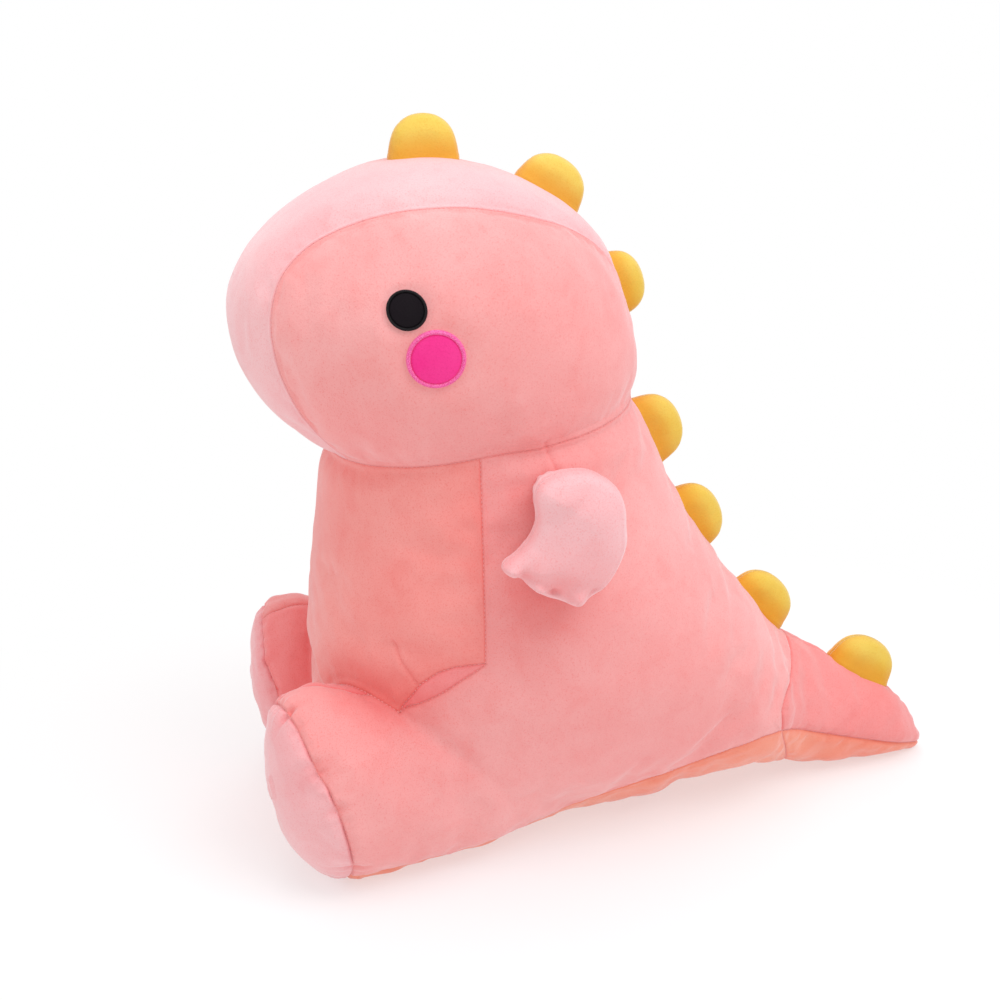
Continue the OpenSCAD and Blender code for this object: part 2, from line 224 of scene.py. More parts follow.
def split(V, T, marked, E, TE, P):
    """Splits the marked edges at the points P, and every triangle on them. Returns the vertices, the triangles and each one's parent."""
    ids = -np.ones(len(E), int); ids[marked] = len(V) + np.arange(int(marked.sum()))
    V = np.concatenate([V, P]); M = ids[TE]; c = (M >= 0).sum(1); n = np.arange(len(T))
    new, par = [T[c == 0]], [n[c == 0]]
    def rolled(sel, first):
        r = (first[:, None] + np.arange(3)) % 3
        return np.take_along_axis(T[sel], r, 1), np.take_along_axis(M[sel], r, 1), n[sel]
    s = c == 1
    if s.any():
        t, m, p = rolled(s, (M[s] >= 0).argmax(1))
        new += [np.stack([t[:, 0], m[:, 0], t[:, 2]], 1), np.stack([m[:, 0], t[:, 1], t[:, 2]], 1)]; par += [p, p]
    s = c == 2
    if s.any():
        t, m, p = rolled(s, ((M[s] < 0).argmax(1) + 1) % 3)
        new.append(np.stack([m[:, 0], t[:, 1], m[:, 1]], 1)); par.append(p)
        d1 = np.linalg.norm(V[t[:, 0]] - V[m[:, 1]], axis=1) <= np.linalg.norm(V[m[:, 0]] - V[t[:, 2]], axis=1)
        a, b, q = t[d1], m[d1], p[d1]
        new += [np.stack([a[:, 0], b[:, 0], b[:, 1]], 1), np.stack([a[:, 0], b[:, 1], a[:, 2]], 1)]; par += [q, q]
        a, b, q = t[~d1], m[~d1], p[~d1]
        new += [np.stack([a[:, 0], b[:, 0], a[:, 2]], 1), np.stack([b[:, 0], b[:, 1], a[:, 2]], 1)]; par += [q, q]
    s = c == 3
    if s.any():
        t, m, p = T[s], M[s], n[s]
        new += [np.stack([t[:, 0], m[:, 0], m[:, 2]], 1), np.stack([m[:, 0], t[:, 1], m[:, 1]], 1),
                np.stack([m[:, 2], m[:, 1], t[:, 2]], 1), m]
        par += [p]*4
    return V, np.concatenate(new), np.concatenate(par)

def cut(V, T, L, old, g, neg, pos):
    """Cuts the triangles labelled old along g = 0, and labels the two sides."""
    S = L == old
    tv = np.unique(T[S])
    gv = np.zeros(len(V)); gv[tv] = at(g, V[tv])
    E, TE = edges_of(T)
    inside = np.zeros(len(E), bool); inside[TE[S].ravel()] = True
    outside = np.zeros(len(E), bool); outside[TE[~S].ravel()] = True
    seam = inside & outside
    locked = np.zeros(len(V), bool); locked[E[seam].ravel()] = True
    a, b = E.T
    x = np.nonzero(inside & (gv[a]*gv[b] < 0))[0]
    s = gv[a[x]]/(gv[a[x]] - gv[b[x]])
    X = V[a[x]] + s[:, None]*(V[b[x]] - V[a[x]])
    near = np.concatenate([a[x][s < 0.22], b[x][s > 0.78]]); to = np.concatenate([X[s < 0.22], X[s > 0.78]])
    d = np.linalg.norm(V[near] - to, axis=1)
    o = np.argsort(d); near, to = near[o], to[o]
    near, first = np.unique(near, return_index=True); to = to[first]
    ok = ~locked[near]
    V = V.copy(); V[near[ok]] = to[ok]; gv[near[ok]] = 0
    gv[locked & (np.abs(gv) < 0.12)] = 0
    marked = inside & (gv[a]*gv[b] < 0)
    s = gv[a[marked]]/(gv[a[marked]] - gv[b[marked]])
    X = V[a[marked]] + s[:, None]*(V[b[marked]] - V[a[marked]])
    V, T, par = split(V, T, marked, E, TE, X)
    gv = np.concatenate([gv, np.zeros(len(X))])
    L = L[par]
    m = gv[T].sum(1)
    L = np.where(S[par], np.where(m < 0, neg, pos), L)
    return V, T, L

def seam_edges(T, L):
    """Edges with a different panel on each side, and the two panels."""
    E, TE = edges_of(T)
    lo = np.full(len(E), 10**6); hi = np.full(len(E), -1)
    for k in range(3):
        np.minimum.at(lo, TE[:, k], L); np.maximum.at(hi, TE[:, k], L)
    s = lo != hi
    return E[s], lo[s], hi[s]

def vertex_normals(V, T):
    n = np.cross(V[T[:, 1]] - V[T[:, 0]], V[T[:, 2]] - V[T[:, 0]])
    N = np.stack([sum(np.bincount(T[:, c], n[:, k], len(V)) for c in range(3)) for k in range(3)], 1)
    return N/np.maximum(np.linalg.norm(N, axis=1), 1e-12)[:, None]

def lattice(i, j, k, seed):
    h = (i*374761393 + j*668265263 + k*2147483647 + seed*1274126177) & 0xffffffff
    h = ((h ^ (h >> 13))*1274126177) & 0xffffffff
    return (((h ^ (h >> 16)) & 0xffff)/32767.5) - 1

def vnoise(P, size, seed=0):
    """Smooth noise from -1 to 1, with lumps of about that size."""
    p = P/size; i = np.floor(p).astype(np.int64); f = p - i; f = f*f*f*(f*(f*6-15)+10)
    r = 0
    for a in (0, 1):
        for b in (0, 1):
            for c in (0, 1):
                w = (f[:, 0] if a else 1-f[:, 0])*(f[:, 1] if b else 1-f[:, 1])*(f[:, 2] if c else 1-f[:, 2])
                r = r + w*lattice(i[:, 0]+a, i[:, 1]+b, i[:, 2]+c, seed)
    return r

def make(name, V, F, mat, attrs=None, smooth_faces=True):
    """A mesh object from millimetre points in the model's own datum."""
    W = np.array(V, float); W = np.stack([W[:, 0], W[:, 1] - Y_MID, W[:, 2]], 1)*0.001
    me = bpy.data.meshes.new(name)
    F = [np.asarray(x) for x in F] if isinstance(F, list) else [np.asarray(F)]
    loops = np.concatenate([x.ravel() for x in F]); sizes = np.concatenate([np.full(len(x), x.shape[1]) for x in F])
    me.vertices.add(len(W)); me.vertices.foreach_set("co", W.astype(np.float32).ravel())
    me.loops.add(len(loops)); me.loops.foreach_set("vertex_index", loops.astype(np.int32))
    me.polygons.add(len(sizes)); me.polygons.foreach_set("loop_start", np.concatenate([[0], np.cumsum(sizes)[:-1]]).astype(np.int32))
    me.polygons.foreach_set("loop_total", sizes.astype(np.int32))
    me.polygons.foreach_set("use_smooth", np.full(len(sizes), smooth_faces))
    me.update(calc_edges=True); me.validate()
    for k, v in (attrs or {}).items():
        a = me.attributes.new(k, "FLOAT", "POINT"); a.data.foreach_set("value", np.asarray(v, np.float32))
    ob = bpy.data.objects.new(name, me); scene.collection.objects.link(ob)
    me.materials.append(mat)
    return ob
# ---------------------------------------------------------------- materials
def lin(r, g, b):
    return tuple((c/12.92 if c <= 0.04045 else ((c+0.055)/1.055)**2.4) for c in (r/255, g/255, b/255)) + (1,)

def nodes_of(m):
    m.use_nodes = True
    t = m.node_tree; t.nodes.clear()
    return t, t.nodes, t.links

def plush(name, light, base, deep, pile=1.0, sheen=0.6, sheen_tint=(1, 0.93, 0.95, 1), rough=0.85, painted_shade_amount=0.5):
    """Short velvet: patches where the pile lies another way, a fine pile, and painted shade, a deeper warm pink taken
    from the seam attribute, where the cloth turns in to a seam and in the creases.
    """
    m = bpy.data.materials.new(name); t, N, K = nodes_of(m)
    out = N.new("ShaderNodeOutputMaterial"); p = N.new("ShaderNodeBsdfPrincipled")
    K.new(p.outputs[0], out.inputs[0])
    co = N.new("ShaderNodeTexCoord")
    big = N.new("ShaderNodeTexNoise"); big.inputs["Scale"].default_value = 9; big.inputs["Detail"].default_value = 4; big.inputs["Roughness"].default_value = 0.55
    mid = N.new("ShaderNodeTexNoise"); mid.inputs["Scale"].default_value = 46; mid.inputs["Detail"].default_value = 5; mid.inputs["Distortion"].default_value = 0.6
    fine = N.new("ShaderNodeTexNoise"); fine.inputs["Scale"].default_value = 900; fine.inputs["Detail"].default_value = 3
    for n in (big, mid, fine): K.new(co.outputs["Object"], n.inputs["Vector"])
    r1 = N.new("ShaderNodeValToRGB"); r1.color_ramp.elements[0].position = 0.36; r1.color_ramp.elements[1].position = 0.66
    r1.color_ramp.elements[0].color = lin(*base); r1.color_ramp.elements[1].color = lin(*light)
    K.new(big.outputs["Fac"], r1.inputs[0])
    m1 = N.new("ShaderNodeMix"); m1.data_type = "RGBA"; m1.blend_type = "MIX"
    m1.inputs[7].default_value = lin(*[(a*0.55+b*0.45) for a, b in zip(base, deep)])
    s1 = N.new("ShaderNodeMapRange"); s1.inputs[1].default_value = 0.5; s1.inputs[2].default_value = 0.8; s1.inputs[3].default_value = 0; s1.inputs[4].default_value = 0.22
    K.new(mid.outputs["Fac"], s1.inputs[0]); K.new(s1.outputs[0], m1.inputs[0]); K.new(r1.outputs[0], m1.inputs[6])
    # fine speckle of the pile
    m2 = N.new("ShaderNodeMix"); m2.data_type = "RGBA"; m2.blend_type = "MIX"
    m2.inputs[7].default_value = lin(*deep)
    s2 = N.new("ShaderNodeMapRange"); s2.inputs[1].default_value = 0.52; s2.inputs[2].default_value = 0.8; s2.inputs[3].default_value = 0; s2.inputs[4].default_value = 0.4
    K.new(fine.outputs["Fac"], s2.inputs[0]); K.new(s2.outputs[0], m2.inputs[0]); K.new(m1.outputs[2], m2.inputs[6])
    # painted shade: the colour goes towards the deep pink by the seam attribute, in the seams, creases and folds
    m3 = N.new("ShaderNodeMix"); m3.data_type = "RGBA"; m3.blend_type = "MIX"; m3.inputs[7].default_value = lin(*deep)
    at_ = N.new("ShaderNodeAttribute"); at_.attribute_name = "seam"
    s3 = N.new("ShaderNodeMath"); s3.operation = "MULTIPLY"; s3.inputs[1].default_value = painted_shade_amount; s3.use_clamp = True
    K.new(at_.outputs["Fac"], s3.inputs[0]); K.new(s3.outputs[0], m3.inputs[0]); K.new(m2.outputs[2], m3.inputs[6])
    K.new(m3.outputs[2], p.inputs["Base Color"])
    rr = N.new("ShaderNodeMapRange"); rr.inputs[3].default_value = rough-0.07; rr.inputs[4].default_value = min(1, rough+0.1)
    K.new(mid.outputs["Fac"], rr.inputs[0]); K.new(rr.outputs[0], p.inputs["Roughness"])
    p.inputs["Specular IOR Level"].default_value = 0.2
    p.inputs["Sheen Weight"].default_value = sheen; p.inputs["Sheen Roughness"].default_value = 0.38; p.inputs["Sheen Tint"].default_value = sheen_tint
    # pile: fine bump over soft rubbed patches
    ad = N.new("ShaderNodeMath"); ad.operation = "MULTIPLY_ADD"; ad.inputs[1].default_value = 0.35
    vor = N.new("ShaderNodeTexVoronoi"); vor.inputs["Scale"].default_value = 520; K.new(co.outputs["Object"], vor.inputs["Vector"])
    K.new(vor.outputs["Distance"], ad.inputs[0]); K.new(fine.outputs["Fac"], ad.inputs[2])
    ad2 = N.new("ShaderNodeMath"); ad2.operation = "MULTIPLY_ADD"; ad2.inputs[1].default_value = 1.6
    K.new(mid.outputs["Fac"], ad2.inputs[0]); K.new(ad.outputs[0], ad2.inputs[2])
    bu = N.new("ShaderNodeBump"); bu.inputs["Strength"].default_value = 0.32*pile; bu.inputs["Distance"].default_value = 0.0009
    K.new(ad2.outputs[0], bu.inputs["Height"]); K.new(bu.outputs[0], p.inputs["Normal"])
    return m

def satin(name, base, deep, rough=0.42, rib=1400, sheen=0.15):
    """Polyester thread laid side by side."""
    m = bpy.data.materials.new(name); t, N, K = nodes_of(m)
    out = N.new("ShaderNodeOutputMaterial"); p = N.new("ShaderNodeBsdfPrincipled"); K.new(p.outputs[0], out.inputs[0])
    co = N.new("ShaderNodeTexCoord")
    w = N.new("ShaderNodeTexNoise"); w.inputs["Scale"].default_value = rib; w.inputs["Detail"].default_value = 2; K.new(co.outputs["Object"], w.inputs["Vector"])
    r = N.new("ShaderNodeValToRGB"); r.color_ramp.elements[0].position = 0.35; r.color_ramp.elements[1].position = 0.65
    r.color_ramp.elements[0].color = lin(*deep); r.color_ramp.elements[1].color = lin(*base)
    K.new(w.outputs["Fac"], r.inputs[0]); K.new(r.outputs[0], p.inputs["Base Color"])
    p.inputs["Roughness"].default_value = rough; p.inputs["Sheen Weight"].default_value = sheen; p.inputs["Specular IOR Level"].default_value = 0.3
    bu = N.new("ShaderNodeBump"); bu.inputs["Strength"].default_value = 0.4; bu.inputs["Distance"].default_value = 0.0003
    K.new(w.outputs["Fac"], bu.inputs["Height"]); K.new(bu.outputs[0], p.inputs["Normal"])
    return m

# painted light and shade: one pink plush in paler copies for the lit top, soles and arms and deeper copies for the
# belly, legs, tail and base, partly also a real difference in how the pile lies
PINK_SIDE = plush("plush_side", (244, 174, 172), (242, 160, 158), (230, 66, 60))
PINK_TOP = plush("plush_top", (243, 192, 194), (242, 181, 184), (230, 84, 84))
PINK_BELLY = plush("plush_belly", (245, 163, 157), (243, 146, 140), (228, 60, 54))
PINK_LEG = plush("plush_leg", (245, 158, 157), (243, 146, 146), (230, 64, 62))
PINK_SOLE = plush("plush_sole", (243, 189, 191), (242, 178, 181), (230, 78, 80))
PINK_TAIL = plush("plush_tail", (240, 152, 150), (239, 142, 140), (226, 56, 52))
PINK_BASE = plush("plush_base", (245, 160, 136), (243, 144, 122), (230, 70, 48))
PINK_ARM = plush("plush_arm", (245, 196, 199), (243, 184, 187), (236, 78, 70))
YELLOW = plush("plush_spike", (232, 202, 98), (227, 190, 72), (222, 138, 6), sheen_tint=(0.97, 0.93, 0.76, 1), sheen=0.75, painted_shade_amount=0.7)
BLACK = plush("felt_eye", (20, 11, 18), (14, 7, 13), (4, 2, 5), sheen=0.02, sheen_tint=(0.7, 0.6, 0.75, 1), pile=1.3)
BLACK_THREAD = satin("thread_eye", (14, 8, 14), (4, 2, 5), rough=0.7, sheen=0.0)
HOT = plush("felt_cheek", (250, 82, 160), (247, 48, 142), (214, 20, 110), sheen=0.3, pile=1.3, sheen_tint=(1, 0.8, 0.92, 1))
HOT_THREAD = satin("thread_cheek", (252, 128, 188), (232, 60, 142))
THREAD = satin("thread_seam", (247, 176, 172), (236, 140, 136), rough=0.5)
# ---------------------------------------------------------------- the sewn skin: one smooth surface, cut into its panels
GUSSET = np.array([(-180, 92), (-168, 91), (-153, 86), (-136, 66), (-120, 50), (-95, 36), (-60, 28), (-30, 28), (0, 34), (14, 60), (30, 86), (44, 100), (59, 110), (79, 115), (103, 116),
                   (120, 110), (138, 100), (151, 88), (159, 84), (168, 87), (180, 92)], float)
def g_gusset(x, y, z):
    th = np.degrees(np.arctan2(z-HEAD_C[1], y-HEAD_C[0]))
    w = sum(np.interp((th+d+180) % 360 - 180, GUSSET[:, 0], GUSSET[:, 1]) for d in (-9, -4.5, 0, 4.5, 9))/5
    return np.abs(x) - w
def g_neck(x, y, z): return f_head(x, y, z) - f_body(x, y, z)
def g_tail(x, y, z): return y - (266 - 0.0047*x*x + 0.02*np.abs(x))
def g_tail_low(x, y, z): return z - np.interp(y, [210, 228, 280, 324, 372, 406, 414], [80, 77, 54, 38, 21, 9, 7])
def g_sole(x, y, z):
    t, p = leg_coords(x, y, z)
    return t - np.interp(z, [0, 31, 58, 84, 107, 118, 136, 149, 170], [229, 233, 238, 243, 248, 253, 256, 258, 262])
def g_base(x, y, z): return z - np.interp(y, [-170, -60, 20, 66, 106, 153, 178, 211, 229, 262], [12, 12, 22, 36, 50, 60, 69, 77, 76, 66])
SEAM_T = np.array([(100, 92), (126, 76), (141, 66), (151, 57), (160, 49), (167, 42), (172, 35), (182, 22), (194, 8), (210, -4), (226, -12), (241, -18), (262, -20)], float)
FOLD = np.array([(100, 196), (126, 193), (136, 191), (145, 189), (155, 183), (165, 172), (172, 158), (180, 140), (190, 100), (200, 40), (212, -30)], float)
LOW = np.array([(100, 196), (126, 192), (130, 188), (141, 178), (151, 168), (160, 160), (167, 154), (172, 151), (182, 140), (192, 100), (205, 0)], float)
def g_leg(x, y, z): return f_leg(x, y, z) - np.minimum(f_torso(x, y, z), f_rump(x, y, z))
def g_inner(x, y, z):
    t, p = leg_coords(x, y, z)
    return np.maximum(np.maximum(p - np.interp(t, SEAM_T[:, 0], SEAM_T[:, 1]), y + 46), np.minimum(np.interp(t, LOW[:, 0], LOW[:, 1]) - z, p - 10))
NAMES = ["head_gusset", "head_side_left", "head_side_right", "belly_panel", "body_side_left", "body_side_right", "inner_leg_left", "inner_leg_right",
         "sole_left", "sole_right", "base_panel", "tail_side_left", "tail_side_right", "tail_underside"]
ID = {n: i for i, n in enumerate(NAMES)}

H = 5.5
V, Q = nets(f_all, (-32.5*H, -41*H, -1.5*H), (32.5*H, 77*H, 104*H), H)
V = project(f_all, V)
E, _ = quad_edges(Q)
V = relax(f_all, V, E, 5)
E, QE = quad_edges(Q)
mid = len(V) + np.arange(len(E)); cen = len(V) + len(E) + np.arange(len(Q))
V = np.concatenate([V, V[E].mean(1), V[Q].mean(1)])
m = mid[QE]
Q = np.concatenate([np.stack([Q[:, k], m[:, k], cen, m[:, (k+3) % 4]], 1) for k in range(4)])
V = project(f_all, V)
E, _ = quad_edges(Q)
V = relax(f_all, V, E, 2)
d1 = np.linalg.norm(V[Q[:, 0]] - V[Q[:, 2]], axis=1) <= np.linalg.norm(V[Q[:, 1]] - V[Q[:, 3]], axis=1)
T = np.concatenate([Q[d1][:, [0, 1, 2]], Q[d1][:, [0, 2, 3]], Q[~d1][:, [0, 1, 3]], Q[~d1][:, [1, 2, 3]]])
L = np.full(len(T), 100)
V, T, L = cut(V, T, L, 100, g_neck, 101, 102)                       # head, body
V, T, L = cut(V, T, L, 101, g_gusset, ID["head_gusset"], 103)
V, T, L = cut(V, T, L, 102, g_tail, 104, 105)                       # 104 body, 105 tail
V, T, L = cut(V, T, L, 105, g_tail_low, ID["tail_underside"], 106)
V, T, L = cut(V, T, L, 106, lambda x, y, z: x, ID["tail_side_right"], ID["tail_side_left"])
V, T, L = cut(V, T, L, 104, g_sole, 107, 108)                       # 108 soles
V, T, L = cut(V, T, L, 107, g_base, ID["base_panel"], 109)
V, T, L = cut(V, T, L, 109, g_leg, 110, 111)                        # 110 on the leg, 111 on belly and back
V, T, L = cut(V, T, L, 110, g_inner, 112, 113)
V, T, L = cut(V, T, L, 111, lambda x, y, z: y + 46, 114, 113)        # 114 everything in front of the side seam
V, T, L = cut(V, T, L, 114, lambda x, y, z: np.interp(leg_coords(x, y, z)[0], FOLD[:, 0], FOLD[:, 1]) - z, ID["belly_panel"], 115)
V, T, L = cut(V, T, L, 115, lambda x, y, z: np.interp(leg_coords(x, y, z)[0], LOW[:, 0], LOW[:, 1]) - z, 112, 113)
C = V[T].mean(1)
L = np.where(L == 103, np.where(C[:, 0] > 0, ID["head_side_left"], ID["head_side_right"]), L)
L = np.where(L == 108, np.where(C[:, 0] > 0, ID["sole_left"], ID["sole_right"]), L)
V, T, L = cut(V, T, L, 112, lambda x, y, z: x, ID["inner_leg_right"], ID["inner_leg_left"])
V, T, L = cut(V, T, L, 113, lambda x, y, z: x, ID["body_side_right"], ID["body_side_left"])
# a finer mesh beside the seams
DART = []                                                # short sewn tucks: two on the belly, one above each arm
for line in ([(116, -112, 204), (120, -107, 192), (124, -102, 183), (128, -95, 173)], [(137, 3, 360), (137, 7, 348), (139, 11, 338), (140, 14, 324), (141, 15, 312)]):
    q = np.array(line, float); u = np.linspace(0, len(q)-1, 30)
    q = np.stack([np.interp(u, np.arange(len(q)), q[:, k]) for k in range(3)], 1)
    DART += [q, q*[-1, 1, 1]]
DART = project(f_all, np.concatenate(DART), 4)
for _ in range(1):
    SE, sa, sb = seam_edges(T, L)
    near = np.concatenate([V[SE[:, 0]], V[SE].mean(1), DART])
    kd = KDTree(len(near))
    for i, q in enumerate(near): kd.insert(q, i)
    kd.balance()
    E, TE = edges_of(T)
    M = V[E].mean(1); far = np.array([kd.find(q)[2] for q in M])
    marked = (far < 8.5) & (np.linalg.norm(V[E[:, 0]] - V[E[:, 1]], axis=1) > 1.7)
    V, T, par = split(V, T, marked, E, TE, M[marked]); L = L[par]
SE, sa, sb = seam_edges(T, L)
on_seam = np.unique(SE)
E, _ = edges_of(T)
V = project(f_all, V, 2)
V = relax(f_all, V, E, 2, 0.4, held=on_seam)

# how far each point is from a seam, and which seam it is
def kind(a, b):
    n = {NAMES[a].replace("_left", "").replace("_right", ""), NAMES[b].replace("_left", "").replace("_right", "")}
    if "sole" in n: return 1
    if n == {"head_gusset", "head_side"}: return 2
    if n & {"head_gusset", "head_side"}: return 3
    if "base_panel" in n: return 6
    if n & {"tail_side", "tail_underside"}: return 5
    if n == {"belly_panel", "body_side"}: return 7
    if n == {"body_side"} or n == {"tail_side"}: return 8
    return 4
KIND = np.array([kind(a, b) for a, b in zip(sa, sb)])
#        kind: groove depth, half width, pucker height, reach of the puckers, bulge beside it
SEAMS = {1: (1.9, 1.7, 4.2, 17, 1.0), 2: (1.1, 1.35, 0.3, 9, 0.2), 3: (1.1, 1.8, 0.4, 12, 0.3), 4: (1.7, 1.7, 0.7, 12, 0.8), 5: (1.9, 1.8, 1.2, 14, 0.8),
         6: (1.4, 1.7, 0.6, 11, 0.4), 7: (0.8, 1.1, 0.45, 10, 0.3), 8: (0.9, 1.5, 0.35, 10, 0.2)}
PAR = np.zeros((9, 5)); PAR[list(SEAMS)] = list(SEAMS.values())
SP = np.concatenate([V[SE[:, 0]], V[SE].mean(1), V[SE[:, 1]]]); SK = np.tile(KIND, 3)
kd = KDTree(len(SP))
for i, q in enumerate(SP): kd.insert(q, i)
kd.balance()
found = [kd.find(q) for q in V]
S = np.array([r[2] for r in found]); SI = np.array([r[1] for r in found])
A = PAR[SK[SI]]
N = vertex_normals(V, T)
def stuffed(h=8.0, frames=18):
    """The skin as cloth, sewn down along its seams and pushed out by the stuffing. Returns how far it moves out at the points of V, without its mean swelling."""
    nx, ny, nz = 171/h, 238/h, 573/h
    v, q = nets(f_all, (-(math.floor(nx)+1.5)*h, -(math.floor(ny)+1)*h, -1.4*h), ((math.floor(nx)+1.5)*h, 424, 573), h)
    v = project(f_all, v); e, _ = quad_edges(q); v = relax(f_all, v, e, 4)
    pin = np.array([kd.find(x)[2] for x in v])
    pin = np.where(pin < 6.5, 1.0, 0.0); pin[v[:, 2] < 2.5] = 1
    ob = make("stuffing_sim", v, q, PINK_SIDE)
    g = ob.vertex_groups.new(name="sewn"); g.add([int(i) for i in np.nonzero(pin)[0]], 1.0, "REPLACE")
    m = ob.modifiers.new("cloth", "CLOTH"); c = m.settings
    c.quality = 5; c.mass = 0.15; c.tension_stiffness = 12; c.compression_stiffness = 6; c.shear_stiffness = 4; c.bending_stiffness = 0.08
    c.tension_damping = 8; c.compression_damping = 8; c.shear_damping = 8; c.air_damping = 2
    c.use_pressure = True; c.uniform_pressure_force = 3.0; c.vertex_group_mass = "sewn"; c.pin_stiffness = 1.0
    c.shrink_min = -0.045; c.shrink_max = -0.045; c.effector_weights.gravity = 0
    m.collision_settings.use_collision = False
    m.point_cache.frame_start = 1; m.point_cache.frame_end = frames
    scene.frame_start, scene.frame_end = 1, frames
    for f in range(1, frames+1): scene.frame_set(f)
    me = ob.evaluated_get(bpy.context.evaluated_depsgraph_get()).data
    w = np.empty(len(v)*3, np.float32); me.vertices.foreach_get("co", w)
    w = w.reshape(-1, 3)*1000.0; w[:, 1] += Y_MID
    bpy.data.objects.remove(ob); scene.frame_set(1)
    t = np.concatenate([q[:, [0, 1, 2]], q[:, [0, 2, 3]]])
    nn = vertex_normals(v, t); out = np.clip(((w-v)*nn).sum(1), -7, 7)
    cnt = np.bincount(e.ravel(), minlength=len(v)); low = out.copy()
    for _ in range(24): low = 0.5*low + 0.5*(np.bincount(e[:, 0], low[e[:, 1]], len(v)) + np.bincount(e[:, 1], low[e[:, 0]], len(v)))/np.maximum(cnt, 1)
    out = out - 0.8*low
    tree = BVHTree.FromPolygons([tuple(x) for x in v], [tuple(x) for x in t])
    hit = [tree.find_nearest(Vector(x)) for x in V]
    fi = np.array([x[2] for x in hit]); P = np.array([tuple(x[0]) for x in hit])
    a, b, c_ = v[t[fi, 0]], v[t[fi, 1]], v[t[fi, 2]]
    n = np.cross(b-a, c_-a); nq = np.maximum((n*n).sum(1), 1e-9)
    w0 = (np.cross(b-P, c_-P)*n).sum(1)/nq; w1 = (np.cross(c_-P, a-P)*n).sum(1)/nq
    res = w0*out[t[fi, 0]] + w1*out[t[fi, 1]] + (1-w0-w1)*out[t[fi, 2]]
    cnt = np.maximum(np.bincount(E.ravel(), minlength=len(V)), 1)
    for _ in range(10): res = 0.5*res + 0.5*(np.bincount(E[:, 0], res[E[:, 1]], len(V)) + np.bincount(E[:, 1], res[E[:, 0]], len(V)))/cnt
    print("STUFFED", len(v), float(out.min()), float(out.max()), float(np.abs(out).mean()), flush=True)
    return np.clip(res, -4, 4)

E, _ = edges_of(T)
swell = stuffed()
foot = SP[SI]                                            # the seam point that a vertex belongs to
ripple = 0.65*vnoise(foot, 7.0, 3) + 0.5*vnoise(foot, 13.0, 5) + 0.3*vnoise(foot, 4.2, 9)
side = np.where(vnoise(foot, 30, 17) > 0, 1.0, 0.75)
reach = A[:, 3]*(0.75 + 0.5*vnoise(foot, 17, 21))
body = np.clip(S/2.0, 0, 1)*np.exp(-(S/np.maximum(reach, 4))**1.6)
disp = -A[:, 0]*np.exp(-(S/A[:, 1])**2) + A[:, 4]*np.exp(-((S-7)/5.5)**2) + A[:, 2]*ripple*body*side
calm = np.ones(len(V))                                   # the head is flat under its patches
for cy, cz, r in ((-101.5, 465.5, 14), (-82, 431, 21)):
    d = np.hypot(V[:, 1]-cy, V[:, 2]-cz) + 400*(np.abs(V[:, 0]) < 100)
    calm *= smooth(d, r, r+14)
    disp -= 0.7*np.exp(-((d-r-1.2)/2.2)**2)
kd = KDTree(len(DART))
for i, q in enumerate(DART): kd.insert(q, i)
kd.balance()
SD = np.array([kd.find(q)[2] for q in V])
disp += -0.9*np.exp(-(SD/1.5)**2) + 0.7*np.exp(-((SD-5)/4)**2)
quiet = smooth(S, 2, 12)
disp += swell*calm*smooth(S, 0.5, 5)
disp += calm*quiet*(0.9*vnoise(V, 62, 31) + 0.45*vnoise(V, 27, 33) + 0.16*vnoise(V, 11, 35))
disp *= np.where(V[:, 2] < 1.0, 0.15, 1)
VD = V + N*disp[:, None]
VD[:, 2] = np.maximum(VD[:, 2], 0.2)
# painted shade: the seam grooves, the darts and the valleys of the puckers are painted towards the deep pink, where
# shade falls
painted_crease_shade = np.exp(-(S/1.15)**2)*0.5 + 0.12*np.exp(-(S/6)**2) + 0.35*np.exp(-(SD/1.1)**2) + 0.17*A[:, 2]*np.clip(-ripple, 0, 1)*body
# painted shade: the crotch, the folds between belly and legs, the flank under and in front of each arm and the lower
# front of the flanks are painted a deeper pink where shade falls
fold = np.zeros(len(V))
for c, r0, a in (((120, -103, 158), 30, 0.5), ((104, -122, 152), 26, 0.4), ((60, -150, 110), 60, 0.35), ((0, -150, 60), 90, 0.3), ((150, 2, 236), 38, 0.62), ((205, -70, 95), 85, 0.16), ((150, -45, 265), 55, 0.14)):
    q = np.stack([np.abs(V[:, 0])-c[0], V[:, 1]-c[1], V[:, 2]-c[2]], 1)
    fold += a*np.exp(-((q**2).sum(1))/r0**2)
painted_crease_shade = np.clip(painted_crease_shade + fold, 0, 1)
ND = vertex_normals(VD, T)

MAT = {"head_gusset": PINK_TOP, "head_side": PINK_SIDE, "belly_panel": PINK_BELLY, "body_side": PINK_SIDE, "inner_leg": PINK_LEG, "sole": PINK_SOLE, "base_panel": PINK_BASE,
       "tail_side": PINK_TAIL, "tail_underside": PINK_BASE}
panels = {}
for name in NAMES:
    t = T[L == ID[name]]
    if not len(t):
        raise RuntimeError("no faces on " + name)
    ids, t = np.unique(t, return_inverse=True); t = t.reshape(-1, 3)
    v, n = VD[ids], ND[ids]
    # the edge turns in: a narrow flange under each seam
    e = np.concatenate([t[:, [0, 1]], t[:, [1, 2]], t[:, [2, 0]]])
    key = np.sort(e, axis=1); key = key[:, 0].astype(np.int64)*(1 << 32) + key[:, 1]
    u, inv, cnt = np.unique(key, return_inverse=True, return_counts=True)
    b = e[cnt[inv.ravel()] == 1]
    bv = np.unique(b); flange = -np.ones(len(v), int); flange[bv] = len(v) + np.arange(len(bv))
    v2 = np.concatenate([v, v[bv] - n[bv]*2.2])
    q = np.stack([b[:, 1], b[:, 0], flange[b[:, 0]], flange[b[:, 1]]], 1)
    # painted shade: the turned-in flange is painted fully deep, the rest of the panel takes the painted crease shade
    painted_shade = np.concatenate([painted_crease_shade[ids], np.ones(len(bv))])
    key = name.replace("_left", "").replace("_right", "")
    panels[name] = make(name + "_cloth", v2, [t, q], MAT[key], {"seam": painted_shade})

